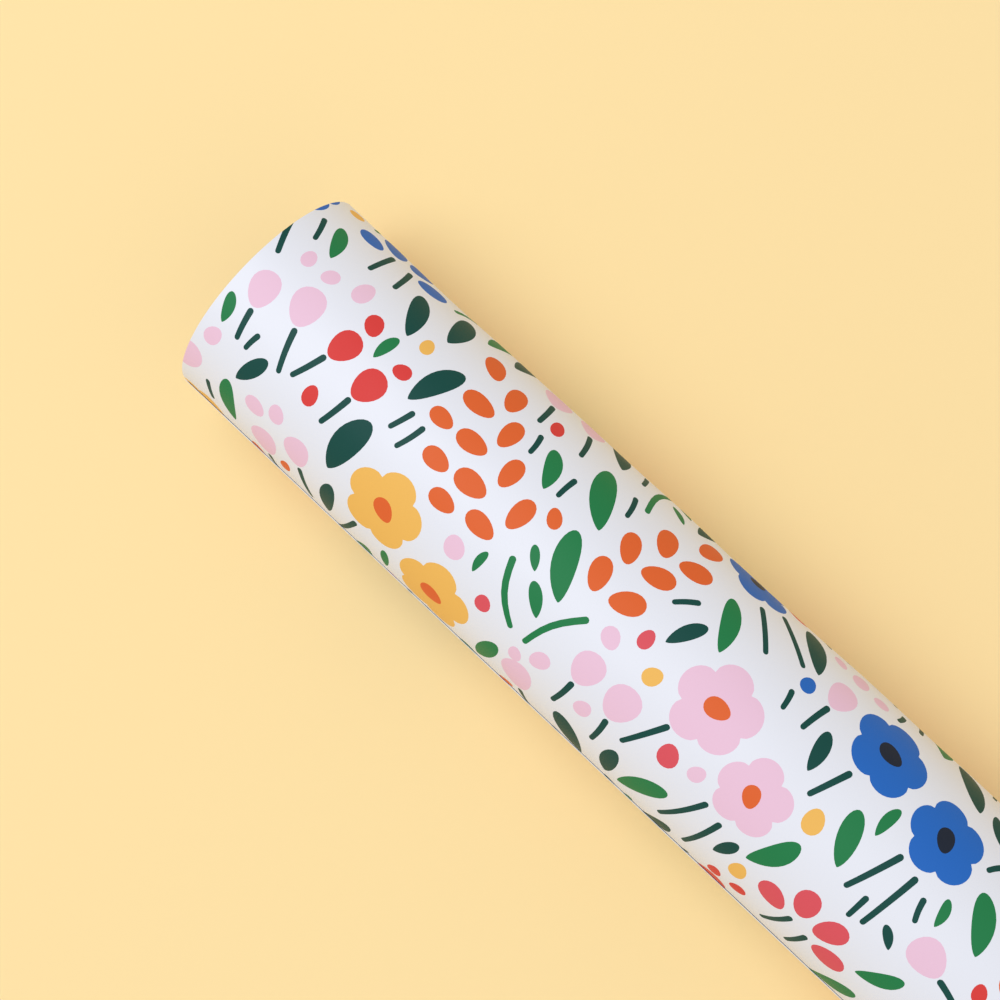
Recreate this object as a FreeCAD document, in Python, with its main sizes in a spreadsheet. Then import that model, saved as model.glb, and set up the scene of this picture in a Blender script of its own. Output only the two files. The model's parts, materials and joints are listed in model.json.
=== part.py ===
"""Wrapping paper roll: printed sheet wound on a cardboard core, lying with its axis along X.

The origin is the middle of the core's bore, +Z is up, and the sheet's free edge is on the -Y side.
Angles are measured about the axis from +Y towards +Z, so 90 is the top, 180 is -Y and 270 the bottom.
"""
import FreeCAD, Part
import math
import os

import Sketcher

# Driving dimensions, in millimetres, degrees or a plain count.
SIZES = {
    "roll_length": 762.0,
    "core_bore_diameter": 38.1,
    "inner_liner_thickness": 0.3,
    "middle_ply_thickness": 0.6,
    "outer_liner_thickness": 0.3,
    "core_clearance": 0.3,
    "paper_thickness": 0.15,
    "wound_turns": 27,
    "loose_turn_gap": 0.25,
    "tail_edge_angle": 172.0,
    "tail_root_angle": 262.0,
    "tail_segments": 6,
    "hinge_gap": 0.3,
    "tape_length": 30.0,
    "tape_past_edge": 6.7,
    "tape_hinge_clearance": 0.5,
    "tape_thickness": 0.06,
    "tape_spacing": 260.0,
}

doc = FreeCAD.newDocument("wrapping_paper_roll")
sheet = doc.addObject("Spreadsheet::Sheet", "sizes")
for row, (alias, value) in enumerate(SIZES.items(), start=1):
    sheet.set(f"A{row}", alias)
    sheet.set(f"B{row}", str(value))
    sheet.setAlias(f"B{row}", alias)
doc.recompute()

# Radii, each built on the one inside it.
BORE = "sizes.core_bore_diameter / 2"
LINER_TO_PLY = f"{BORE} + sizes.inner_liner_thickness"
PLY_TO_LINER = f"{LINER_TO_PLY} + sizes.middle_ply_thickness"
CORE_OUTSIDE = f"{PLY_TO_LINER} + sizes.outer_liner_thickness"
PAPER_INSIDE = f"{CORE_OUTSIDE} + sizes.core_clearance"
WOUND_OUTSIDE = f"{PAPER_INSIDE} + sizes.wound_turns * sizes.paper_thickness"
TAIL_INSIDE = f"{WOUND_OUTSIDE} + sizes.loose_turn_gap"
TAIL_OUTSIDE = f"{TAIL_INSIDE} + sizes.paper_thickness"
TAPE_OUTSIDE = f"{TAIL_OUTSIDE} + sizes.tape_thickness"

HINGE_GAP_ANGLE = f"sizes.hinge_gap / ({TAIL_OUTSIDE}) * 180 / pi"
SEGMENT_ANGLE = "(sizes.tail_root_angle - sizes.tail_edge_angle) / sizes.tail_segments"


def number(expression):
    """The value that an expression on the sheet has now."""
    value = sheet.evalExpression(expression)
    return float(getattr(value, "Value", value))


def body_with_section(name):
    """A body and its empty sketch across the roll's axis: sketch x is +Y and sketch y is +Z."""
    body = doc.addObject("PartDesign::Body", name)
    body.Label = name
    section = body.newObject("Sketcher::SketchObject", f"{name}_section")
    plane = next(f for f in body.Origin.OriginFeatures if f.Role == "YZ_Plane")
    section.AttachmentSupport = [(plane, "")]
    section.MapMode = "FlatFace"
    return body, section


def bind(section, kind, *where, expression, unit):
    """Adds a dimension to the sketch and ties it to the sheet."""
    raw = number(expression)
    start = math.radians(raw) if unit == "deg" else raw
    index = section.addConstraint(Sketcher.Constraint(kind, *where, start))
    section.setExpression(f"Constraints[{index}]", f"({expression}) * 1 {unit}")


def draw_ring(section, inside, outside):
    """Two circles about the axis."""
    for expression in (inside, outside):
        circle = Part.Circle(FreeCAD.Vector(0, 0, 0), FreeCAD.Vector(0, 0, 1), number(expression))
        index = section.addGeometry(circle, False)
        section.addConstraint(Sketcher.Constraint("Coincident", index, 3, -1, 1))
        bind(section, "Radius", index, expression=expression, unit="mm")


def draw_sector(section, inside, outside, start, end, offset=None):
    """Part of a ring from angle start to angle end. offset moves its centre away from the free edge."""
    first, last = math.radians(number(start)), math.radians(number(end))
    shift = number(offset[0]) if offset else 0.0
    turn = math.radians(number(offset[1])) if offset else 0.0
    centre = FreeCAD.Vector(shift * math.cos(turn), shift * math.sin(turn), 0)

    def rim(radius, angle):
        return centre + FreeCAD.Vector(radius * math.cos(angle), radius * math.sin(angle), 0)

    arcs = []
    for expression in (inside, outside):
        circle = Part.Circle(centre, FreeCAD.Vector(0, 0, 1), number(expression))
        arcs.append(section.addGeometry(Part.ArcOfCircle(circle, first, last), False))
        bind(section, "Radius", arcs[-1], expression=expression, unit="mm")
    section.addConstraint(Sketcher.Constraint("Coincident", arcs[0], 3, arcs[1], 3))
    if offset:
        for kind, way in (("DistanceX", "cos"), ("DistanceY", "sin")):
            place = f"({offset[0]}) * {way}(({offset[1]}) * 1 deg)"
            bind(section, kind, arcs[0], 3, expression=place, unit="mm")
    else:
        section.addConstraint(Sketcher.Constraint("Coincident", arcs[0], 3, -1, 1))
    for end_point, angle, expression in ((1, first, start), (2, last, end)):
        ends = [rim(number(radius), angle) for radius in (inside, outside)]
        line = section.addGeometry(Part.LineSegment(*ends), False)
        section.addConstraint(Sketcher.Constraint("Coincident", line, 1, arcs[0], end_point))
        section.addConstraint(Sketcher.Constraint("Coincident", line, 2, arcs[1], end_point))
        bind(section, "Angle", line, expression=expression, unit="deg")


def pad(body, section, length="sizes.roll_length"):
    """Pads the section to both sides of the middle of the roll."""
    solid = body.newObject("PartDesign::Pad", f"{body.Name}_pad")
    solid.Profile = section
    solid.SideType = "Symmetric"
    solid.setExpression("Length", f"({length}) * 1 mm")
    section.Visibility = False
    return body


def tube(name, inside, outside):
    body, section = body_with_section(name)
    draw_ring(section, inside, outside)
    return pad(body, section)


def core():
    """Three plies of board glued into one tube."""
    return [
        tube("core_inner_liner", BORE, LINER_TO_PLY),
        tube("core_middle_ply", LINER_TO_PLY, PLY_TO_LINER),
        tube("core_outer_liner", PLY_TO_LINER, CORE_OUTSIDE),
    ]


def wound_paper():
    """The turns that lie tight on each other."""
    return tube("wound_paper", PAPER_INSIDE, WOUND_OUTSIDE)


def outer_turn():
    """The last turn, from the root of the tail under the roll, round to where it goes under the free edge.

    It is a little loose: it touches the turns below at its far end and stands off where the tail starts.
    """
    body, section = body_with_section("outer_turn")
    away = "sizes.tail_edge_angle + 180"
    draw_sector(
        section,
        TAIL_INSIDE,
        TAIL_OUTSIDE,
        f"sizes.tail_root_angle + {HINGE_GAP_ANGLE} / 2",
        "sizes.tail_edge_angle + 360",
        offset=("sizes.loose_turn_gap", away),
    )
    return pad(body, section)


def tail_segment(number_from_root):
    """One strip of the tail, between two of the lines that the tail bends on."""
    body, section = body_with_section(f"tail_segment_{number_from_root}")
    near = f"sizes.tail_root_angle - {number_from_root - 1} * {SEGMENT_ANGLE}"
    far = f"sizes.tail_root_angle - {number_from_root} * {SEGMENT_ANGLE}"
    draw_sector(
        section,
        TAIL_INSIDE,
        TAIL_OUTSIDE,
        f"{far} + {HINGE_GAP_ANGLE} / 2",
        f"{near} - {HINGE_GAP_ANGLE} / 2",
    )
    return pad(body, section)


def tape_tab(name, side):
    """Clear tape along the free edge: half on the last strip of the tail, half over the turn below."""
    body, section = body_with_section(name)
    degrees_per_mm = f"180 / pi / ({TAIL_OUTSIDE})"
    draw_sector(
        section,
        TAIL_OUTSIDE,
        TAPE_OUTSIDE,
        f"sizes.tail_edge_angle - sizes.tape_past_edge * {degrees_per_mm}",
        f"sizes.tail_edge_angle + {SEGMENT_ANGLE} - sizes.tape_hinge_clearance * {degrees_per_mm}",
    )
    pad(body, section, "sizes.tape_length")
    body.setExpression("Placement.Base.x", f"{side} * sizes.tape_spacing / 2 * 1 mm")
    return body


def check(nodes):
    """Stops if any object failed or any sub-part isn't one sound solid."""
    broken = [o.Name for o in doc.Objects if {"Invalid", "Error"} & set(o.State)]
    for node in nodes:
        shape = node.Shape
        if shape.isNull() or not shape.isValid() or len(shape.Solids) != 1:
            broken.append(node.Label)
    if broken:
        raise RuntimeError(f"failed: {', '.join(broken)}")


def main():
    segments = range(1, int(number("sizes.tail_segments")) + 1)
    nodes = core() + [wound_paper(), outer_turn()]
    nodes += [tail_segment(place) for place in segments]
    nodes += [tape_tab("tape_tab_left", -1), tape_tab("tape_tab_right", 1)]
    doc.recompute()
    check(nodes)

    os.makedirs("parts", exist_ok=True)
    for node in nodes:
        node.Shape.exportStep(f"parts/{node.Label}.step")
        box = node.Shape.BoundBox
        print(f"{node.Label:20s} {node.Shape.Volume:12.1f} mm3  z {box.ZMin:8.3f} to {box.ZMax:7.3f}")
    hinge_radius = number(TAIL_OUTSIDE)
    for place in segments:
        angle = math.radians(number(f"sizes.tail_root_angle - {place - 1} * {SEGMENT_ANGLE}"))
        y, z = hinge_radius * math.cos(angle), hinge_radius * math.sin(angle)
        print(f"tail hinge {place}: y {y:.4f}  z {z:.4f}")


main()
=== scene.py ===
import json
import math
import random

import bmesh
import bpy
import numpy as np
from mathutils import Matrix, Vector, geometry


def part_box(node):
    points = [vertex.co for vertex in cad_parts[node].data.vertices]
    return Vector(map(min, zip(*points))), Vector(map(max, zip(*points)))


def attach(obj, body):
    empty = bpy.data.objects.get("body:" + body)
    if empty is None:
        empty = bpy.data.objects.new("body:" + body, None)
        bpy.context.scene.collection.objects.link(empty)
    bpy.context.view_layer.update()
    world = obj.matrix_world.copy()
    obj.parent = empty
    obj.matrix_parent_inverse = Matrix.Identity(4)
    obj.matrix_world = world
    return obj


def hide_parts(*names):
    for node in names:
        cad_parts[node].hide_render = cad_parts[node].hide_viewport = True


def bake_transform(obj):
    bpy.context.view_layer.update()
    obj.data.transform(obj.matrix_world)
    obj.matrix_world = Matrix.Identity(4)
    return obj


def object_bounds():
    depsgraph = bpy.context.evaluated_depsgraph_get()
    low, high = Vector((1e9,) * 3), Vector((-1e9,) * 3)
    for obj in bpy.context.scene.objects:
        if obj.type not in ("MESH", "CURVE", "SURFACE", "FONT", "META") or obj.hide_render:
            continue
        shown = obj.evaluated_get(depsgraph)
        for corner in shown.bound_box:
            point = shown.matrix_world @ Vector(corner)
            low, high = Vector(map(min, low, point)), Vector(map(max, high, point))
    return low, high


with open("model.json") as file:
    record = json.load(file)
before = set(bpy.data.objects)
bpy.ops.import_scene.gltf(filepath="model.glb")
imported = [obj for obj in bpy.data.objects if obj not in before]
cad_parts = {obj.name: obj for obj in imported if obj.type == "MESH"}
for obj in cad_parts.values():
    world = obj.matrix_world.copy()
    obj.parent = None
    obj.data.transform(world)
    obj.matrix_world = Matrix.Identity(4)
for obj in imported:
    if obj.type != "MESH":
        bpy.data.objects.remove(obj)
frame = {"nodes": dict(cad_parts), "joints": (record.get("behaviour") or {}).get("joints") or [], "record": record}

mm = 0.001
mergeDistance = 0.001 * mm
cadBox = [list(corner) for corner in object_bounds()]

# where things are, read from the frame
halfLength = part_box("wound_paper")[1][0]
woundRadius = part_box("wound_paper")[1][2]
coreRadii = [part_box(name)[1][2] for name in ("core_inner_liner", "core_middle_ply", "core_outer_liner")]
boreRadius = frame["record"]["mounts"][0]["dims"]["r_mm"] * mm
joints = {joint["name"]: joint for joint in frame["joints"]}
tailJoints = sorted(name for name in joints if name.startswith("tail_curl"))
hinges = [Vector(joints[name]["pos_m"]) for name in tailJoints]
hingeAngles = [math.degrees(math.atan2(hinge.z, hinge.y)) % 360 for hinge in hinges]
stripAngle = hingeAngles[0] - hingeAngles[1]
edgeAngle = hingeAngles[-1] - stripAngle
tailRadius = math.hypot(hinges[0].y, hinges[0].z)

# The sheet is followed from its free edge inwards. turn is the angle wound since that edge, in degrees.
sheet = {
    "thickness": 0.15 * mm,
    "edgePress": 0.09 * mm,      # the tail closes on the turn below towards its free edge
    "edgePressTurn": 14.0,
    "edgeLip": 0.05 * mm,        # the cut edge itself curls outwards a little, here more and there less
    "edgeLipTurn": 1.9,
    "edgeLipWaves": (41 * mm, 17 * mm),
    "edgeRows": (0.12, 0.22, 0.45, 0.65, 1.0, 1.5, 2.2),  # lines of vertices beside the edge, in millimetres
    "rippleHeight": 0.24 * mm,   # slack waves in the loose outer turn
    "ripples": (                 # share of the height, length over 2 pi, degrees of turn that slant it, start
        (0.50, 13 * mm, 31, 0.0), (0.32, 7.3 * mm, -17, 1.3), (0.18, 4.1 * mm, 11, 4.0)),
    "slackFrom": (12, 175),      # degrees past the tail's root, and turn, between which the slack grows
    "slackTo": (255, 345),       # and the turns between which it dies out
    "endFlare": 0.22 * mm,       # the outer turn opens a little at both ends
    "endFlareLength": 14 * mm,
    "bendStep": 3.5,             # degrees between the rows of vertices round the roll
    "alongStep": 12 * mm,
    "cutTolerance": 1e-4,        # millimetres between points that the cut takes as one
    "wanderAtEnds": 0.20 * mm,   # how uneven the cut ends of the turns are
    "wanderSlant": 47,           # degrees of turn for one radian of that unevenness
    "wanderReach": 40,           # power of the distance from the middle: only the very ends wander
}
tape = {
    "places": [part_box(name) for name in ("tape_tab_left", "tape_tab_right")],
    "names": ["tape_tab_left", "tape_tab_right"],
    "thickness": 0.06 * mm,
    "toothPitch": 1.1 * mm,      # the saw edge of a tape cutter
    "toothDepth": 0.35 * mm,
    "columns": 40,
    "filmColour": "#F8F9F6",
    "filmAlpha": 0.24,
    "holdLength": 38 * mm,       # how far along the free edge a piece of tape keeps it from curling
    "holdShare": 0.85,
    "lift": 0.01 * mm,           # of the film above the paper
    "dropTurns": (-4.0, -0.3),   # turns between which it goes from the turn below up to the tail
}
looseGap = tailRadius - sheet["thickness"] - woundRadius
rootTurn = hingeAngles[0] - edgeAngle
wrapRadius = woundRadius + looseGap  # arc length on the sheet is measured at this radius
tapeMiddles = [(low[0] + high[0]) / 2 for low, high in tape["places"]]


def smoothStep(value, start, end):
    share = np.clip((value - start) / (end - start), 0, 1)
    return share * share * (3 - 2 * share)


def sheetRadius(x, turn):
    # middle of the paper's thickness
    tail = tailRadius - sheet["thickness"] / 2
    loose = woundRadius + sheet["thickness"] / 2 + looseGap * (1 - np.cos(np.radians(turn)))
    tight = woundRadius + sheet["thickness"] * (0.5 - (turn - 360) / 360)
    radius = np.where(turn < rootTurn, tail, np.where(turn < 360, loose, tight))
    grown = smoothStep(turn, rootTurn + sheet["slackFrom"][0], sheet["slackFrom"][1])
    slack = grown * (1 - smoothStep(turn, *sheet["slackTo"]))
    waves = sum(
        share * np.sin(x / length + turn / slant + start) for share, length, slant, start in sheet["ripples"])
    flare = np.exp(-(halfLength - np.abs(x)) / sheet["endFlareLength"])
    held = sum(np.exp(-(((x - middle) / tape["holdLength"]) ** 2)) for middle in tapeMiddles)
    longWave, shortWave = sheet["edgeLipWaves"]
    drift = 0.55 + 0.45 * np.sin(x / longWave + 0.7) * np.sin(x / shortWave + 2.1)
    curl = np.clip(1 - turn / sheet["edgeLipTurn"], 0, 1) ** 1.5
    lip = curl * (1 - tape["holdShare"] * np.clip(held, 0, 1)) * drift
    press = 1 - smoothStep(turn, 0, sheet["edgePressTurn"])
    radius = radius + sheet["edgeLip"] * lip - sheet["edgePress"] * press
    return radius + slack * (sheet["rippleHeight"] * waves + sheet["endFlare"] * flare)


def sheetPoint(x, turn, offset):
    # x, turn and offset are arrays; offset is how far outside the middle of the paper
    radius = sheetRadius(x, turn) + offset
    angle = np.radians(edgeAngle + turn)
    return np.stack([x, radius * np.cos(angle), radius * np.sin(angle)], axis=-1)


def sheetNormal(x, turn):
    step, turnStep = 0.1 * mm, 0.2
    along = sheetPoint(x + step, turn, 0) - sheetPoint(x - step, turn, 0)
    around = sheetPoint(x, turn + turnStep, 0) - sheetPoint(x, turn - turnStep, 0)
    normal = np.cross(around, along)
    normal *= np.sign(np.sum(normal * sheetPoint(x * 0, turn, 0), axis=1))[:, None]
    return normal / np.linalg.norm(normal, axis=1)[:, None]


# The printed design is a generic scatter of blossoms, sprigs, berries, buds and leaves, drawn by formula.
# Everything in it is flat, in millimetres: u runs along the roll and v along the sheet from its free edge.
design = {
    "seed": 28,
    "clearance": 0.9,            # bare paper between neighbouring shapes
    "cell": 0.4,                 # of the grid that remembers what is taken
    "overhang": 16.0,            # shapes start this far outside the sheet, so that its edges cut through some
    "edgeMargin": 0.3,           # the printer's bare strip along the free edge
    "lean": 0.42,                # how far stems swing from pointing along the sheet, in radians
    "blossomRadius": (7.6, 9.4),
    "rota": ["bouquet", "sprig", "buds", "blossom", "petals", "bouquet",
             "buds", "berries", "bouquet", "sprig", "buds", "blossom"],
    "rounds": 34,
    "triesEach": 40,
    "spotTries": 12,
    "fillers": {"blossom": 500, "buds": 900, "bigLeaf": 3600, "dashes": 1500, "leaf": 3400,
                "petal": 3000, "smallLeaf": 2600, "dash": 3600},
}


def outline(count, place):
    return [place(index / count) for index in range(count)]


def blossom(size, chance):
    # five round lobes with shallow notches, each a little different
    wobble = [chance.uniform(-0.05, 0.05) for _ in range(5)]

    def place(share):
        angle = 2 * math.pi * share
        lobe = abs(math.cos(2.5 * angle)) ** 0.7
        reach = size * (0.77 + 0.23 * lobe + wobble[int(share * 5 + 0.5) % 5] * lobe)
        return reach * math.cos(angle), reach * math.sin(angle)

    return outline(60, place)


def oval(length, width, blunt=0.16, count=22):
    # an egg, blunter at its far end
    def place(share):
        angle = 2 * math.pi * share
        swell = 1 + blunt * math.cos(angle)
        return 0.5 * length * math.cos(angle), 0.5 * width * swell * math.sin(angle)

    return outline(count, place)


def leaf(length, width, bend, count=28):
    # round at its foot, drawn out to a blunt point, and bowed sideways
    def place(share):
        side = 1 if share < 0.5 else -1
        along = 0.5 - 0.5 * math.cos(2 * math.pi * share)
        bulge = 2.3 * along ** 0.52 * (1 - along) ** 0.72
        bow = bend * math.sin(math.pi * along)
        return (along - 0.5) * length, bow - side * 0.5 * width * bulge

    return outline(count, place)


def stroke(length, width, bend, caps=5, spans=6):
    # a brush stroke with round ends, a little thinner at its far end
    def spine(along):
        return (along - 0.5) * length, bend * math.sin(math.pi * along)

    def thick(along):
        return 0.5 * width * (1 - 0.14 * along)

    points = []
    for side in (1, -1):
        route = [step / spans for step in range(spans + 1)]
        for along in route if side > 0 else route[::-1]:
            x, y = spine(along)
            points.append((x, y - side * thick(along)))
        centre, radius = spine(1 if side > 0 else 0), thick(1 if side > 0 else 0)
        for step in range(1, caps):
            angle = -side * math.pi / 2 + math.pi * step / caps
            points.append((centre[0] + radius * math.cos(angle), centre[1] + radius * math.sin(angle)))
    return points


def placed(points, at, angle):
    cosine, sine = math.cos(angle), math.sin(angle)
    return [(at[0] + x * cosine - y * sine, at[1] + x * sine + y * cosine) for x, y in points]


def anticlockwise(points):
    area = sum(points[i - 1][0] * points[i][1] - points[i][0] * points[i - 1][1] for i in range(len(points)))
    return points if area > 0 else points[::-1]


def stems(chance, reach, places, width=1.35):
    # straight strokes side by side, fanned a little
    shapes = []
    for x, y, swing in places:
        length = chance.uniform(*reach)
        shape = stroke(length, width, chance.uniform(-0.22, 0.22))
        middle = (x + 0.5 * length * math.cos(swing), y + 0.5 * length * math.sin(swing))
        shapes.append(("deepGreenInk", placed(shape, middle, swing)))
    return shapes


def blossomHead(chance, ink, middle, at, size):
    turned = chance.uniform(0, 2 * math.pi)
    return [
        (ink, placed(blossom(size, chance), at, turned)),
        (middle, placed(oval(size * 0.62, size * 0.45), at, chance.uniform(0, 3))),
    ]


blossomInks = [("blueInk", "navyInk"), ("yellowInk", "orangeInk"), ("pinkInk", "orangeInk")]


def blossomGroup(chance):
    size = chance.uniform(*design["blossomRadius"])
    shapes = blossomHead(chance, *chance.choice(blossomInks), (0, 0), size)
    spread = chance.uniform(2.2, 3.2)
    return shapes + stems(chance, (8, 13), [(size + 1.2, side * spread, side * 0.1) for side in (-1, 1)])


def bouquetGroup(chance):
    # two blossoms of one colour, with their stems
    ink, middle = chance.choice(blossomInks)
    first, second = chance.uniform(*design["blossomRadius"]), chance.uniform(*design["blossomRadius"])
    apart = first + second + chance.uniform(0.8, 1.6)
    step = chance.uniform(-7, 7)
    across = math.sqrt(apart ** 2 - step ** 2)
    shapes = blossomHead(chance, ink, middle, (0, 0), first)
    shapes += blossomHead(chance, ink, middle, (step, across), second)
    shapes += stems(chance, (9, 13), [(first + 1.2, -2.6, -0.16), (first + 1.2, 2.2, 0.06)])
    shapes += stems(chance, (7, 11), [(step + second + 1.2, across + 1.5, 0.12)])
    return shapes


def sprigGroup(chance):
    # ovals in loose pairs up a bowed stem
    shapes = []
    bow, pairs = chance.uniform(-4.0, 4.0), chance.choice([3, 4, 4, 5])
    reach = pairs * 8.0
    for pair in range(pairs):
        along = (pair + 0.6) / pairs
        spineY = bow * math.sin(math.pi * along)
        for side in (-1, 1):
            length = chance.uniform(6.6, 7.8)
            angle = math.pi - side * chance.uniform(0.62, 0.9)
            away = 3.7 + chance.uniform(-0.1, 0.3)
            centre = (-along * reach + 2.5 + side * 0.9, spineY + side * away)
            shape = oval(length, length * chance.uniform(0.58, 0.66))
            shapes.append(("orangeInk", placed(shape, centre, angle)))
    shapes.append(("orangeInk", placed(oval(7.0, 4.7), (-reach - 3.0, 0.4), math.pi + 0.1)))
    if chance.random() < 0.6:  # a second row outside the first
        for pair in range(pairs - 1):
            along = (pair + 1.1) / pairs
            centre = (-along * reach + 2.5, bow * math.sin(math.pi * along) + 10.2)
            length = chance.uniform(5.4, 6.6)
            shapes.append(("orangeInk", placed(oval(length, length * 0.66), centre, math.pi - 0.75)))
    shapes.append(("greenInk", placed(stroke(13.5, 1.5, 0.35 * bow), (12.0, 0.1 * bow), 0.04 * bow)))
    return shapes


def berryGroup(chance):
    ink = chance.choice(["redInk", "coralInk"])
    shapes = []
    for row, across in ((0, (-3.3, 3.3)), (-5.9, (-6.4, 0, 6.4)), (-11.6, (-3.1, 3.4))):
        for y in across:
            size = chance.uniform(4.8, 5.9)
            centre = (row + chance.uniform(-0.35, 0.35), y + chance.uniform(-0.3, 0.3))
            shape = oval(size, size * chance.uniform(0.82, 0.98), 0.06, 18)
            shapes.append((ink, placed(shape, centre, chance.uniform(0, 3))))
    places = [(4.6 + abs(y) * -0.25, y, 0.02 * y) for y in (-6.6, -2.2, 2.2, 6.6)]
    return shapes + stems(chance, (4.5, 7.5), places, 1.25)


def budGroup(chance):
    # rounded buds with short stems, and a few loose petals above them
    ink = chance.choice(["pinkInk", "pinkInk", "pinkInk", "redInk"])
    shapes = []
    for y in (-4.6, 4.6) if chance.random() < 0.7 else (0.0,):
        size, x = chance.uniform(7.0, 9.2), chance.uniform(-1.6, 1.6)
        shapes.append((ink, placed(oval(size, size * chance.uniform(0.76, 0.86), 0.2), (x, y), math.pi)))
        shapes += stems(chance, (5.5, 8.5), [(x + size / 2 + 1.0, y * 1.05, 0.015 * y)])
    for y in (-5.4, 0.2, 5.6):
        if chance.random() < 0.7:
            size = chance.uniform(3.6, 5.2)
            centre = (-8.6 + chance.uniform(-1, 1), y)
            shapes.append((ink, placed(oval(size, size * 0.8, 0.1, 16), centre, 0.4 * y)))
    return shapes


def petalsGroup(chance):
    # big loose petals in an arc
    ink = chance.choice(["blueInk", "blueInk", "coralInk", "pinkInk"])
    shapes = []
    for index in range(chance.choice([3, 4])):
        angle = 0.86 * index - 1.2
        length = chance.uniform(6.2, 8.6)
        centre = (-8.4 * math.cos(angle), 8.4 * math.sin(angle))
        shapes.append((ink, placed(oval(length, length * 0.72, 0.14), centre, math.pi - angle)))
    return shapes + stems(chance, (6.5, 9.5), [(-1.5, -2.4, -0.08), (-1.5, 2.4, 0.1)])


def leafOf(low, high):
    def group(chance):
        length = chance.uniform(low, high)
        shape = leaf(length, length * chance.uniform(0.34, 0.43), chance.uniform(-0.06, 0.06) * length)
        return [(chance.choice(["greenInk", "deepGreenInk"]), shape)]

    return group


def petalGroup(chance):
    ink = chance.choice(["pinkInk", "coralInk", "orangeInk", "blueInk", "redInk", "yellowInk"])
    length = chance.uniform(3.8, 6.4)
    return [(ink, oval(length, length * chance.uniform(0.7, 0.9), 0.1, 18))]


def dashesGroup(chance):
    count = chance.choice([2, 2, 3])
    return stems(chance, (5, 8), [(0.8 * index, 2.9 * index, 0.05 * index) for index in range(count)], 1.3)


def dashGroup(chance):
    return stems(chance, (3.4, 6.0), [(0, 0, 0)], 1.25)


groups = {
    "blossom": blossomGroup, "bouquet": bouquetGroup, "sprig": sprigGroup, "berries": berryGroup,
    "buds": budGroup, "petals": petalsGroup, "bigLeaf": leafOf(11.5, 14.5), "leaf": leafOf(8.5, 11.5),
    "smallLeaf": leafOf(5.0, 7.5), "petal": petalGroup, "dashes": dashesGroup, "dash": dashGroup,
}


def scatterDesign(sheetLength):
    # big groups go down first, and each later one only where it keeps its clearance
    chance = random.Random(design["seed"])
    cell, over = design["cell"], design["overhang"]
    width = halfLength / mm
    columns, rows = int((2 * width + 2 * over) / cell) + 1, int((sheetLength + 2 * over) / cell) + 1
    taken = np.zeros((columns, rows), bool)
    spread = int(design["clearance"] / cell) + 1
    shapes = []

    def cellsOf(points):
        # the outline and smaller copies of it stand for the whole shape
        shape = np.array(points)
        middle = shape.mean(axis=0)
        dense = np.concatenate([shape, (shape + np.roll(shape, 1, axis=0)) / 2])
        rings = np.concatenate([middle + (dense - middle) * share for share in (1, 0.8, 0.6, 0.4, 0.2)])
        cells = ((rings + np.array([width + over, over])) / cell).astype(int)
        inside = (cells >= 0).all(axis=1) & (cells[:, 0] < columns) & (cells[:, 1] < rows)
        return cells[inside]

    reach = np.arange(-spread, spread + 1)
    around = np.stack(np.meshgrid(reach, reach), axis=-1).reshape(1, -1, 2)

    def tryGroup(kind):
        for _ in range(design["spotTries"]):  # a bare spot to start from
            at = (chance.uniform(-width - over, width + over), chance.uniform(-over, sheetLength + over))
            column = min(int((at[0] + width + over) / cell), columns - 1)
            row = min(int((at[1] + over) / cell), rows - 1)
            if not taken[column, row]:
                break
        turned = math.pi / 2 + chance.gauss(0, design["lean"])
        group = [(ink, placed(points, at, turned)) for ink, points in groups[kind](chance)]
        found = []
        for _, points in group:
            cells = cellsOf(points)
            if taken[cells[:, 0], cells[:, 1]].any():
                return False
            found.append(cells)
        cells = np.concatenate(found)
        cells = cells[np.unique(cells[:, 0] * rows + cells[:, 1], return_index=True)[1]]
        stamp = (cells[:, None, :] + around).reshape(-1, 2)
        taken[np.clip(stamp[:, 0], 0, columns - 1), np.clip(stamp[:, 1], 0, rows - 1)] = True
        shapes.extend((ink, anticlockwise(points)) for ink, points in group)
        return True

    for _ in range(design["rounds"]):
        for kind in design["rota"]:
            for _ in range(design["triesEach"]):
                if tryGroup(kind):
                    break
    for kind, tries in design["fillers"].items():
        for _ in range(tries):
            tryGroup(kind)
    return shapes


def turnOf(v):
    return np.degrees(v * mm / wrapRadius)


def lengthOf(turn):
    return math.radians(turn) * wrapRadius / mm


def linear(hexColour):
    channels = [int(hexColour[place:place + 2], 16) / 255 for place in (1, 3, 5)]
    return [c / 12.92 if c <= 0.04045 else ((c + 0.055) / 1.055) ** 2.4 for c in channels] + [1.0]


def addNode(tree, kind, inputs=None, **settings):
    made = tree.nodes.new(kind)
    for name, value in settings.items():
        setattr(made, name, value)
    for name, value in (inputs or {}).items():
        if isinstance(value, bpy.types.NodeSocket):
            tree.links.new(value, made.inputs[name])
        else:
            made.inputs[name].default_value = value
    return made


def startMaterial(name):
    made = bpy.data.materials.new(name)
    made.use_nodes = True
    made.node_tree.nodes.clear()
    return made, made.node_tree


def finishMaterial(tree, shader):
    addNode(tree, "ShaderNodeOutputMaterial", {"Surface": shader.outputs["BSDF"]})


paper = {
    "toothSize": 0.42 * mm,      # the coating's tooth, drawn about twice as coarse as real so that it shows
    "calenderSize": 9 * mm,      # slow unevenness left by the coating
    "toothHeight": 0.02 * mm,
    "ior": 1.5,
}


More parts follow.
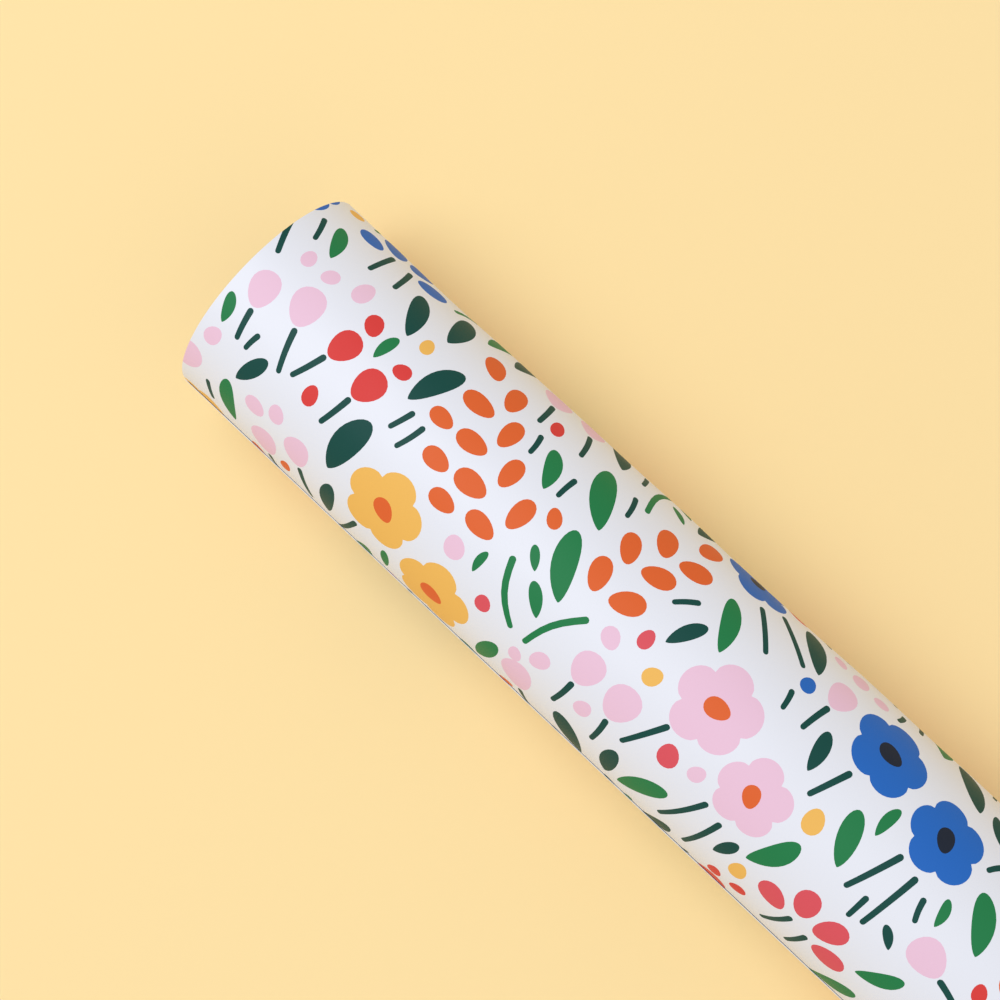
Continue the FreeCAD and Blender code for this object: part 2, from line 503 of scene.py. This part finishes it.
def coatedPaper(name, colour, roughness, spread, gloss):
    # Clay-coated art paper, calendered to a satin: white with a soft broad sheen, and a faint tooth that
    # breaks the sheen up. Ink lies in the coating, so a printed patch has the same grain, a bit flatter.
    made, tree = startMaterial(name)
    place = addNode(tree, "ShaderNodeAttribute", attribute_name="sheetPlace")
    tooth = addNode(tree, "ShaderNodeTexNoise", {
        "Vector": place.outputs["Vector"], "Scale": 1 / paper["toothSize"], "Detail": 3.0, "Roughness": 0.6})
    calender = addNode(tree, "ShaderNodeTexNoise", {
        "Vector": place.outputs["Vector"], "Scale": 1 / paper["calenderSize"], "Detail": 2.0})
    mixed = addNode(tree, "ShaderNodeMath", {
        0: tooth.outputs["Fac"], 1: calender.outputs["Fac"]}, operation="ADD")
    sheen = addNode(tree, "ShaderNodeMapRange", {
        "Value": mixed.outputs["Value"], "From Min": 0.6, "From Max": 1.4,
        "To Min": roughness - spread, "To Max": roughness + spread})
    bump = addNode(tree, "ShaderNodeBump", {
        "Height": tooth.outputs["Fac"], "Distance": paper["toothHeight"], "Strength": 0.6})
    shader = addNode(tree, "ShaderNodeBsdfPrincipled", {
        "Base Color": linear(colour), "Roughness": sheen.outputs["Result"], "IOR": paper["ior"],
        "Specular IOR Level": gloss, "Normal": bump.outputs["Normal"]})
    finishMaterial(tree, shader)
    return made


def uncoatedPaper(name, colour):
    # The sheet's uncoated back and its cut edges: bare pulp, so matt, and slightly warmer than the coating.
    made, tree = startMaterial(name)
    place = addNode(tree, "ShaderNodeAttribute", attribute_name="sheetPlace")
    pulp = addNode(tree, "ShaderNodeTexNoise", {
        "Vector": place.outputs["Vector"], "Scale": 1 / (0.8 * mm), "Detail": 4.0, "Roughness": 0.65})
    sheen = addNode(tree, "ShaderNodeMapRange", {
        "Value": pulp.outputs["Fac"], "From Min": 0.3, "From Max": 0.7, "To Min": 0.72, "To Max": 0.88})
    bump = addNode(tree, "ShaderNodeBump", {
        "Height": pulp.outputs["Fac"], "Distance": 0.02 * mm, "Strength": 0.7})
    shader = addNode(tree, "ShaderNodeBsdfPrincipled", {
        "Base Color": linear(colour), "Roughness": sheen.outputs["Result"], "IOR": paper["ior"],
        "Normal": bump.outputs["Normal"]})
    finishMaterial(tree, shader)
    return made


inks = {
    "greenInk": "#1F7D48",
    "deepGreenInk": "#0C4942",
    "orangeInk": "#E2662F",
    "redInk": "#DB3F3C",
    "coralInk": "#DE5560",
    "pinkInk": "#EDC6DC",
    "blueInk": "#2469C2",
    "navyInk": "#1B2434",
    "yellowInk": "#F2BC5E",
}
paperMaterials = {"coatedWhitePaper": coatedPaper("coatedWhitePaper", "#E9ECF5", 0.42, 0.07, 0.4)}
for inkName, inkColour in inks.items():
    paperMaterials[inkName] = coatedPaper(inkName, inkColour, 0.52, 0.07, 0.22)
paperMaterials["uncoatedPaperBack"] = uncoatedPaper("uncoatedPaperBack", "#F1F0EB")
paperMaterials["cutPaperEdge"] = uncoatedPaper("cutPaperEdge", "#E6E7E8")


def cutFlat(shapes, vLow, vHigh, extra=()):
    # The strip of sheet from vLow to vHigh, cut along every shape's outline and along the lines it bends on.
    # Gives flat points in millimetres, triangles, and the index in shapes of each triangle's ink, or -1.
    width = halfLength / mm
    points = [(-width, vLow), (width, vLow), (width, vHigh), (-width, vHigh)] + list(extra)
    faces, owners, lines = [[0, 1, 2, 3]], [-1], []
    for index, (_, shape) in enumerate(shapes):
        across = [v for _, v in shape]
        if max(across) > vLow and min(across) < vHigh:
            faces.append(list(range(len(points), len(points) + len(shape))))
            owners.append(index)
            points += shape
    bends = max(1, round((turnOf(vHigh) - turnOf(vLow)) / sheet["bendStep"]))
    spans = round(2 * width * mm / sheet["alongStep"])
    rows = [vLow + (vHigh - vLow) * step / bends for step in range(1, bends)]
    rows += [row for row in (design["edgeMargin"], *sheet["edgeRows"]) if vLow < row < vHigh]
    for v in rows:
        lines.append((len(points), len(points) + 1))
        points += [(-width, v), (width, v)]
    for step in range(1, spans):
        u = -width + 2 * width * step / spans
        lines.append((len(points), len(points) + 1))
        points += [(u, vLow), (u, vHigh)]
    # the cut gives points, triangles and, for each triangle, the outlines that it lies in
    flatPoints = [Vector(point) for point in points]
    found = geometry.delaunay_2d_cdt(flatPoints, lines, faces, 1, sheet["cutTolerance"])
    flat, triangles, sources = np.array(found[0]), found[2], found[5]
    kept, ink = [], []
    for triangle, source in zip(triangles, sources):
        if 0 in source:  # inside the strip's own outline
            kept.append(triangle)
            onMargin = sum(flat[corner, 1] for corner in triangle) / 3 < design["edgeMargin"]
            ink.append(-1 if onMargin else owners[max(source)])
    used = np.unique(np.array(kept))
    renumber = {int(old): new for new, old in enumerate(used)}
    return flat[used], [[renumber[corner] for corner in triangle] for triangle in kept], ink


def borderOf(flat, vLow, vHigh):
    # the points round the strip's rim, in order
    width = halfLength / mm
    near = 1e-3
    sides = [
        (np.abs(flat[:, 1] - vLow) < near, flat[:, 0]),
        (np.abs(flat[:, 0] - width) < near, flat[:, 1]),
        (np.abs(flat[:, 1] - vHigh) < near, -flat[:, 0]),
        (np.abs(flat[:, 0] + width) < near, -flat[:, 1]),
    ]
    order = []
    for on, key in sides:
        chosen = np.nonzero(on)[0]
        order += [int(index) for index in chosen[np.argsort(key[chosen])]]
    return [index for place, index in enumerate(order) if index != order[place - 1]]


def makeSheet(name, shapes, turnLow, turnHigh, body):
    # No operator cuts a print into a sheet, so the flat triangles are rolled up point by point.
    vLow, vHigh = lengthOf(turnLow), lengthOf(turnHigh)
    face, faceTriangles, faceInk = cutFlat(shapes, vLow, vHigh)
    faceRim = borderOf(face, vLow, vHigh)
    back, backTriangles, _ = cutFlat([], vLow, vHigh, [tuple(face[index]) for index in faceRim])
    backRim = borderOf(back, vLow, vHigh)
    half = sheet["thickness"] / 2
    places, normals = [], []
    for flat, side in ((face, 1), (back, -1)):
        x, turn = flat[:, 0] * mm, turnOf(flat[:, 1])
        uneven = 0.5 + 0.5 * np.sin(turn / sheet["wanderSlant"] + 3 * np.sign(x))
        wander = sheet["wanderAtEnds"] * uneven * (x / halfLength) ** sheet["wanderReach"]
        places.append(sheetPoint(x - np.sign(x) * wander, turn, side * half))
        normals.append(side * sheetNormal(x, turn))
    start = len(face)
    faces = [triangle[::-1] for triangle in faceTriangles]
    faces += [[corner + start for corner in triangle] for triangle in backTriangles]
    rim = []
    if len(faceRim) != len(backRim):
        raise RuntimeError(f"{name}: the rims don't match, {len(faceRim)} and {len(backRim)}")
    for place in range(len(faceRim)):
        rim.append([faceRim[place - 1], faceRim[place], backRim[place] + start, backRim[place - 1] + start])
    faces += rim
    mesh = bpy.data.meshes.new(name)
    mesh.from_pydata(np.concatenate(places).tolist(), [], faces)
    finishes = [shapes[ink][0] if ink >= 0 else "coatedWhitePaper" for ink in faceInk]
    finishes += ["uncoatedPaperBack"] * len(backTriangles) + ["cutPaperEdge"] * len(rim)
    used = sorted(set(finishes))
    for finish in used:
        mesh.materials.append(paperMaterials[finish])
    mesh.polygons.foreach_set("material_index", [used.index(finish) for finish in finishes])
    flatAll = np.concatenate([face, back])
    kept = mesh.attributes.new("sheetPlace", "FLOAT_VECTOR", "POINT")
    flatPlaces = np.column_stack([flatAll * mm, np.zeros(len(flatAll))]).astype(np.float32)
    kept.data.foreach_set("vector", flatPlaces.ravel())
    layPrintMap(mesh, flatAll, len(faceTriangles), len(backTriangles), vLow, vHigh)
    smoothByNormals(mesh, np.concatenate(normals), len(faceTriangles) + len(backTriangles))
    piece = bpy.data.objects.new(name, mesh)
    bpy.context.scene.collection.objects.link(piece)
    if body:
        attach(piece, body)
    print(f"{name}: {len(mesh.polygons)} faces, {len(set(faceInk))} printed shapes")
    return piece


# where the sides of a strip lie on its map: start and width across, start and height of each side, rim
printMap = {"across": (0.01, 0.98), "face": (0.53, 0.45), "back": (0.05, 0.45), "rim": (0.015, 0.03)}


def layPrintMap(mesh, flat, faceCount, backCount, vLow, vHigh):
    # the printed side fills the upper half of the map, the back most of the lower half, the rim a thin band
    corners = np.zeros(len(mesh.loops), np.int32)
    mesh.loops.foreach_get("vertex_index", corners)
    starts = np.zeros(len(mesh.polygons), np.int32)
    mesh.polygons.foreach_get("loop_start", starts)
    left, width = printMap["across"]
    across = left + width * (flat[corners, 0] * mm / halfLength * 0.5 + 0.5)
    up = (flat[corners, 1] - vLow) / (vHigh - vLow)
    backStart = starts[faceCount]
    rimStart = starts[faceCount + backCount]
    row = np.empty(len(corners))
    row[:backStart] = printMap["face"][0] + printMap["face"][1] * up[:backStart]
    row[backStart:rimStart] = printMap["back"][0] + printMap["back"][1] * up[backStart:rimStart]
    rims = len(corners) - rimStart
    order = np.arange(rims)
    across[rimStart:] = left + width * ((order // 4) + np.isin(order % 4, (1, 2))) / (rims // 4)
    row[rimStart:] = np.where(order % 4 < 2, *printMap["rim"])
    layer = mesh.uv_layers.new(name="OFBake")
    layer.uv.foreach_set("vector", np.column_stack([across, row]).astype(np.float32).ravel())


def smoothByNormals(mesh, normals, smoothCount):
    # the true normals of the curved sheet on both its sides, and plain flat ones on its cut edges
    flags = np.arange(len(mesh.polygons)) < smoothCount
    mesh.polygons.foreach_set("use_smooth", flags)
    mesh.update()
    corners = np.zeros(len(mesh.loops), np.int32)
    mesh.loops.foreach_get("vertex_index", corners)
    corner = normals[corners]
    first = mesh.polygons[smoothCount].loop_start
    own = np.zeros(len(mesh.polygons) * 3, np.float32)
    mesh.polygons.foreach_get("normal", own)
    corner[first:] = np.repeat(own.reshape(-1, 3)[smoothCount:], 4, axis=0)
    mesh.normals_split_custom_set(corner.tolist())


printedTurns = 360 + rootTurn + 12  # past the last turn, only what shows when the tail is open is printed
shapes = scatterDesign(lengthOf(printedTurns))
print(f"design: {len(shapes)} shapes")

halfStrip = stripAngle / 2
for index, name in enumerate(tailJoints):
    number = index + 1
    hingeTurn = hingeAngles[index] - edgeAngle
    last = number == len(tailJoints)
    turnLow = 0.0 if last else hingeTurn - halfStrip
    panel = makeSheet(f"tail_panel_{number}", shapes, turnLow, hingeTurn + halfStrip, None)
    start, end = sheetPoint(np.zeros(2), np.array([hingeTurn + halfStrip, hingeTurn - halfStrip]), 0.0)
    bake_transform(panel)
    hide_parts(f"tail_segment_{number}")
outerTurn = makeSheet("outer_turn_sheet", shapes, rootTurn + halfStrip, 360.0, "roll")
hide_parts("outer_turn")
topTurn = makeSheet("top_wound_turn", shapes, 360.0, 720.0, "roll")
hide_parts("wound_paper")


# the turns below the top one: a tight spiral, cut at both ends, with each turn's edge standing on its own
spiral = {
    "stepsPerTurn": 128,
    "edgeShare": 0.78,           # of the pitch that is paper; the rest is the dark line between two turns
    "grooveShare": 0.11,         # of the pitch, from the paper's edge to the bottom of that line
    "grooveDepth": 0.35 * mm,
    "coreGap": 0.3 * mm,         # between the core and the first turn
    "telescope": 0.35 * mm,      # how far the inner turns have slid back at the ends
    "wander": 0.12 * mm,
}


def placeOnSpiral(bm, profileCount, outside, pitch):
    # each copy of the profile moves inwards by its share of one turn, so that a turn runs into the next
    bm.verts.index_update()
    for vertex in bm.verts:
        turned = vertex.index // profileCount / spiral["stepsPerTurn"]
        radius = math.hypot(vertex.co.y, vertex.co.z)
        turns = (outside - radius) / pitch + turned
        side = math.copysign(1, vertex.co.x)
        slid = spiral["telescope"] * (0.5 - 0.5 * math.cos(turns * 0.27 + 0.5 * side))
        slid += spiral["wander"] * (0.5 + 0.5 * math.sin(turns * 2.4 + side) * math.cos(turns * 0.9))
        vertex.co.x -= side * slid
        shrink = (radius - pitch * turned) / radius
        vertex.co.y *= shrink
        vertex.co.z *= shrink


def makeSpiral(name, materials):
    pitch = sheet["thickness"]
    outside = woundRadius
    inside = coreRadii[-1] + spiral["coreGap"]
    turns = round((outside - inside) / pitch) - 1
    right = []
    for turn in range(turns):
        radius = outside - turn * pitch
        right += [(halfLength, radius), (halfLength, radius - pitch * spiral["edgeShare"])]
        bottom = radius - pitch * (spiral["edgeShare"] + spiral["grooveShare"])
        right += [(halfLength - spiral["grooveDepth"], bottom)]
    right.append((halfLength, outside - turns * pitch))
    profile = right + [(-x, radius) for x, radius in reversed(right)]
    bm = bmesh.new()
    start = math.radians(edgeAngle)
    ring = [bm.verts.new((x, radius * math.cos(start), radius * math.sin(start))) for x, radius in profile]
    edges = [bm.edges.new((ring[place - 1], ring[place])) for place in range(len(ring))]
    bmesh.ops.spin(
        bm, geom=ring + edges, cent=(0, 0, 0), axis=(1, 0, 0), dvec=(0, 0, 0), angle=2 * math.pi,
        steps=spiral["stepsPerTurn"], use_merge=False, use_normal_flip=False, use_duplicate=False)
    placeOnSpiral(bm, len(ring), outside, pitch)
    bmesh.ops.remove_doubles(bm, verts=bm.verts, dist=mergeDistance)
    openEdges = [edge for edge in bm.edges if len(edge.link_faces) == 1]
    bmesh.ops.holes_fill(bm, edges=openEdges, sides=0)
    bmesh.ops.recalc_face_normals(bm, faces=bm.faces)
    return finishPiece(bm, name, materials, "roll")


def finishPiece(bm, name, materials, body, smoothBelow=30):
    # edges sharper than smoothBelow degrees stay sharp, the rest is smooth
    for face in bm.faces:
        face.smooth = True
    for edge in bm.edges:
        if len(edge.link_faces) == 2 and edge.calc_face_angle(0) > math.radians(smoothBelow):
            edge.smooth = False
    mesh = bpy.data.meshes.new(name)
    bm.to_mesh(mesh)
    bm.free()
    for material in materials:
        mesh.materials.append(material)
    piece = bpy.data.objects.new(name, mesh)
    bpy.context.scene.collection.objects.link(piece)
    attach(piece, body)
    print(f"{name}: {len(mesh.polygons)} faces")
    return piece


def woundPaperEdges():
    # Stacked cut edges of the sheet: matt white pulp, mottled greyer at random, a grey that stands partly for dust
    # and partly for painted shade between turns.
    made, tree = startMaterial("woundPaperEdges")
    place = addNode(tree, "ShaderNodeTexCoord")
    dustAndShade = addNode(tree, "ShaderNodeTexNoise", {
        "Vector": place.outputs["Object"], "Scale": 1 / (2.5 * mm), "Detail": 4.0, "Roughness": 0.6})
    # painted shade: the grey end of this mix is partly dust and partly shade between turns painted into the
    # colour, laid down as random blotches
    colour = addNode(tree, "ShaderNodeMix", {
        "Factor": dustAndShade.outputs["Fac"], "A": linear("#DEDDD8"), "B": linear("#F3F3F1")}, data_type="RGBA")
    sheen = addNode(tree, "ShaderNodeMapRange", {
        "Value": dustAndShade.outputs["Fac"], "From Min": 0.3, "From Max": 0.7, "To Min": 0.7, "To Max": 0.86})
    shader = addNode(tree, "ShaderNodeBsdfPrincipled", {
        "Base Color": colour.outputs["Result"], "Roughness": sheen.outputs["Result"], "IOR": paper["ior"]})
    finishMaterial(tree, shader)
    return made


innerTurns = makeSpiral("inner_wound_turns", [woundPaperEdges()])
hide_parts("wound_paper")


# the cardboard core: three plies, each a strip wound round the mandrel in a helix with butted edges
core = {
    "pitch": [86 * mm, 92 * mm, 86 * mm],      # along the tube, for one turn of the strip
    "seam": [0.7 * mm, 1.0 * mm, 0.6 * mm],    # open line between neighbouring edges of the strip
    "startTurn": [0.0, 0.45, 0.62],            # keeps the seams of the plies apart
    "stepsPerTurn": 96,
    "colours": [("#A58C6E", "#C9B394"), ("#8E8272", "#B3A794"), ("#B29877", "#D6C19F")],
    "fleckColour": "#5E554A",
    "glueLine": 0.004 * mm,                    # left free between two plies
}


def corePly(name, index):
    inner = (boreRadius, coreRadii[0], coreRadii[1])[index] + core["glueLine"]
    outer = coreRadii[index] - core["glueLine"]
    pitch, steps = core["pitch"][index], core["stepsPerTurn"]
    turns = math.ceil(2 * halfLength / pitch) + 3  # the strip starts and ends outside the tube and is cut off
    low = -halfLength - 1.6 * pitch + core["startTurn"][index] * 0.5 * pitch
    high = low + pitch - core["seam"][index]
    bm = bmesh.new()
    corners = [(low, inner), (high, inner), (high, outer), (low, outer)]
    strip = [bm.verts.new((x, 0, radius)) for x, radius in corners]
    edges = [bm.edges.new((strip[place - 1], strip[place])) for place in range(4)]
    bmesh.ops.spin(
        bm, geom=strip + edges, cent=(0, 0, 0), axis=(1, 0, 0), dvec=(pitch / steps, 0, 0),
        angle=2 * math.pi * turns, steps=turns * steps, use_merge=False, use_normal_flip=False,
        use_duplicate=False)
    for side in (-1, 1):
        everything = bm.verts[:] + bm.edges[:] + bm.faces[:]
        cut = bmesh.ops.bisect_plane(
            bm, geom=everything, dist=1e-7, plane_co=(side * halfLength, 0, 0), plane_no=(side, 0, 0),
            clear_outer=True)
        ends = [part for part in cut["geom_cut"] if isinstance(part, bmesh.types.BMEdge)]
        bmesh.ops.triangle_fill(bm, edges=ends, use_beauty=True)
    bmesh.ops.remove_doubles(bm, verts=bm.verts, dist=mergeDistance)
    bmesh.ops.recalc_face_normals(bm, faces=bm.faces)
    piece = finishPiece(bm, name + "_strip", [coreBoard(name, *core["colours"][index])], "core")
    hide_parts(name)
    return piece


def coreBoard(name, dark, light):
    # Spiral-wound grey chipboard and kraft liner: recycled pulp, matt, mottled, with short fibres that run
    # along the strip and darker specks of old print.
    made, tree = startMaterial("chipboard_" + name)
    place = addNode(tree, "ShaderNodeTexCoord")
    along = addNode(tree, "ShaderNodeMapping", {
        "Vector": place.outputs["Object"], "Scale": (0.25, 1.0, 1.0), "Rotation": (0.0, 0.0, 0.4)})
    fibre = addNode(tree, "ShaderNodeTexNoise", {
        "Vector": along.outputs["Vector"], "Scale": 1 / (0.7 * mm), "Detail": 5.0, "Roughness": 0.65})
    mottle = addNode(tree, "ShaderNodeTexNoise", {
        "Vector": place.outputs["Object"], "Scale": 1 / (6 * mm), "Detail": 3.0})
    blend = addNode(tree, "ShaderNodeMath", {
        0: fibre.outputs["Fac"], 1: mottle.outputs["Fac"]}, operation="ADD")
    share = addNode(tree, "ShaderNodeMapRange", {
        "Value": blend.outputs["Value"], "From Min": 0.7, "From Max": 1.3, "To Min": 0.0, "To Max": 1.0})
    colour = addNode(tree, "ShaderNodeMix", {
        "Factor": share.outputs["Result"], "A": linear(dark), "B": linear(light)}, data_type="RGBA")
    speck = addNode(tree, "ShaderNodeTexVoronoi", {
        "Vector": place.outputs["Object"], "Scale": 1 / (1.9 * mm), "Randomness": 1.0})
    fleck = addNode(tree, "ShaderNodeMapRange", {
        "Value": speck.outputs["Distance"], "From Min": 0.10, "From Max": 0.16,
        "To Min": 0.45, "To Max": 0.0})
    spotted = addNode(tree, "ShaderNodeMix", {
        "Factor": fleck.outputs["Result"], "A": colour.outputs["Result"], "B": linear(core["fleckColour"])},
        data_type="RGBA")
    sheen = addNode(tree, "ShaderNodeMapRange", {
        "Value": fibre.outputs["Fac"], "From Min": 0.3, "From Max": 0.7, "To Min": 0.78, "To Max": 0.92})
    bump = addNode(tree, "ShaderNodeBump", {
        "Height": fibre.outputs["Fac"], "Distance": 0.05 * mm, "Strength": 0.8})
    shader = addNode(tree, "ShaderNodeBsdfPrincipled", {
        "Base Color": spotted.outputs["Result"], "Roughness": sheen.outputs["Result"], "IOR": 1.5,
        "Normal": bump.outputs["Normal"]})
    finishMaterial(tree, shader)
    return made


for index, name in enumerate(("core_inner_liner", "core_middle_ply", "core_outer_liner")):
    corePly(name, index)


def clearTape():
    # Clear polypropylene tape: a gloss film that shows by its tight highlight, over a faintly wavy glue line.
    made, tree = startMaterial("clearGlossTape")
    place = addNode(tree, "ShaderNodeTexCoord")
    frost = addNode(tree, "ShaderNodeTexNoise", {
        "Vector": place.outputs["Object"], "Scale": 1 / (0.5 * mm), "Detail": 3.0})
    sheen = addNode(tree, "ShaderNodeMapRange", {
        "Value": frost.outputs["Fac"], "From Min": 0.3, "From Max": 0.7, "To Min": 0.14, "To Max": 0.24})
    bump = addNode(tree, "ShaderNodeBump", {
        "Height": frost.outputs["Fac"], "Distance": 0.01 * mm, "Strength": 0.5})
    shader = addNode(tree, "ShaderNodeBsdfPrincipled", {
        "Base Color": linear(tape["filmColour"]), "Roughness": sheen.outputs["Result"], "IOR": 1.49,
        "Alpha": tape["filmAlpha"], "Normal": bump.outputs["Normal"]})
    finishMaterial(tree, shader)
    return made


def makeTape(name, low, high, material):
    # lies on the tail, drops off its edge and sticks to the turn below
    middle, length = (low[0] + high[0]) / 2, high[0] - low[0]
    corners = [vertex.co for vertex in frame["nodes"][name].data.vertices]
    turns = [math.degrees(math.atan2(corner.z, corner.y)) % 360 - edgeAngle for corner in corners]
    turnLow, turnHigh = min(turns), max(turns)
    arc = math.radians(turnHigh - turnLow) * tailRadius
    rows = 2 * round(arc / tape["toothPitch"])
    bm = bmesh.new()
    bmesh.ops.create_grid(bm, x_segments=tape["columns"], y_segments=rows, size=0.5)
    for vertex in bm.verts:
        share = vertex.co.y + 0.5
        tooth = round(share * rows) % 2 * tape["toothDepth"] * (abs(vertex.co.x) > 0.499)
        x = middle + vertex.co.x * length - math.copysign(tooth, vertex.co.x)
        turn = turnLow + share * (turnHigh - turnLow)
        onTail = float(sheetRadius(x, max(turn, 0.0)))
        onTurn = float(sheetRadius(x, 360 + min(turn, 0.0) - 0.001))
        drop = float(smoothStep(turn, *tape["dropTurns"]))
        radius = onTurn + (onTail - onTurn) * drop + sheet["thickness"] / 2 + tape["lift"]
        angle = math.radians(edgeAngle + turn)
        vertex.co = (x, radius * math.cos(angle), radius * math.sin(angle))
    bmesh.ops.recalc_face_normals(bm, faces=bm.faces)
    middles = [(face.normal, face.calc_center_median()) for face in bm.faces]
    # the film thickens against its normals, so they start inwards
    if sum(normal.dot(Vector((0, at.y, at.z))) for normal, at in middles) > 0:
        bmesh.ops.reverse_faces(bm, faces=bm.faces)
    bmesh.ops.solidify(bm, geom=bm.faces, thickness=tape["thickness"])
    bmesh.ops.recalc_face_normals(bm, faces=bm.faces)
    piece = finishPiece(bm, name + "_film", [material], "tail_6")
    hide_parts(name)
    return piece


tapeFilm = clearTape()
for name, (low, high) in zip(tape["names"], tape["places"]):
    makeTape(name, low, high, tapeFilm)


studio = {
    "floorColour": "#FFE3A6",
    "floorSize": 30.0,
    "worldColour": "#FFFBF5",
    "worldStrength": 0.54,
    "lightPlace": (-0.85, -0.18, 1.45),
    "lightSize": 1.5,
    "lightPower": 17.2,
    "lightColour": "#F4F7FF",
    "target": (-0.28, 0.0, 0.0),
}
view = {
    "place": (-0.2821, 0.0129, 0.3292),
    "forward": (-0.1003, -0.0339, -0.9944),
    "right": (0.7287, 0.6780, -0.0966),
    "lens": 57.6,
    "sensor": 36.0,
}


def studioPaper():
    # Seamless background paper: flat, matt and even, with a tooth too fine to see but in grazing light.
    made, tree = startMaterial("seamlessPaper")
    place = addNode(tree, "ShaderNodeTexCoord")
    tooth = addNode(tree, "ShaderNodeTexNoise", {
        "Vector": place.outputs["Object"], "Scale": 1 / (1.2 * mm), "Detail": 3.0})
    bump = addNode(tree, "ShaderNodeBump", {
        "Height": tooth.outputs["Fac"], "Distance": 0.01 * mm, "Strength": 0.3})
    shader = addNode(tree, "ShaderNodeBsdfPrincipled", {
        "Base Color": linear(studio["floorColour"]), "Roughness": 0.9, "Normal": bump.outputs["Normal"]})
    finishMaterial(tree, shader)
    return made


def layFloor():
    bm = bmesh.new()
    bmesh.ops.create_grid(bm, x_segments=1, y_segments=1, size=studio["floorSize"] / 2)
    bmesh.ops.translate(bm, verts=bm.verts, vec=(0, 0, cadBox[0][2] - 0.02 * mm))
    mesh = bpy.data.meshes.new("studio_floor")
    bm.to_mesh(mesh)
    bm.free()
    mesh.materials.append(studioPaper())
    floor = bpy.data.objects.new("studio_floor", mesh)
    bpy.context.scene.collection.objects.link(floor)


def softbox(name, place, size, power):
    lamp = bpy.data.lights.new(name, "AREA")
    lamp.shape = "SQUARE"
    lamp.size = size
    lamp.energy = power
    lamp.color = linear(studio["lightColour"])[:3]
    hung = bpy.data.objects.new(name, lamp)
    hung.location = place
    hung.rotation_euler = (Vector(studio["target"]) - Vector(place)).to_track_quat("-Z", "Y").to_euler()
    bpy.context.scene.collection.objects.link(hung)


def lightStudio():
    softbox("mainSoftbox", studio["lightPlace"], studio["lightSize"], studio["lightPower"])
    world = bpy.data.worlds.new("studioWorld")
    world.use_nodes = True
    background = world.node_tree.nodes["Background"]
    background.inputs["Color"].default_value = linear(studio["worldColour"])
    background.inputs["Strength"].default_value = studio["worldStrength"]
    bpy.context.scene.world = world


def setCamera():
    lensData = bpy.data.cameras.new("camera")
    lensData.lens, lensData.sensor_width = view["lens"], view["sensor"]
    lensData.clip_start = 0.01
    forward = Vector(view["forward"]).normalized()
    right = Vector(view["right"])
    right = (right - forward * right.dot(forward)).normalized()
    up = right.cross(forward)
    camera = bpy.data.objects.new("camera", lensData)
    turnedTo = Matrix((right, up, -forward)).transposed().to_4x4()
    camera.matrix_world = Matrix.Translation(view["place"]) @ turnedTo
    bpy.context.scene.collection.objects.link(camera)
    bpy.context.scene.camera = camera


layFloor()
lightStudio()
setCamera()
scene = bpy.context.scene
scene.view_settings.view_transform = "Standard"
scene.view_settings.look = "None"
print("studio: floor, light and camera")
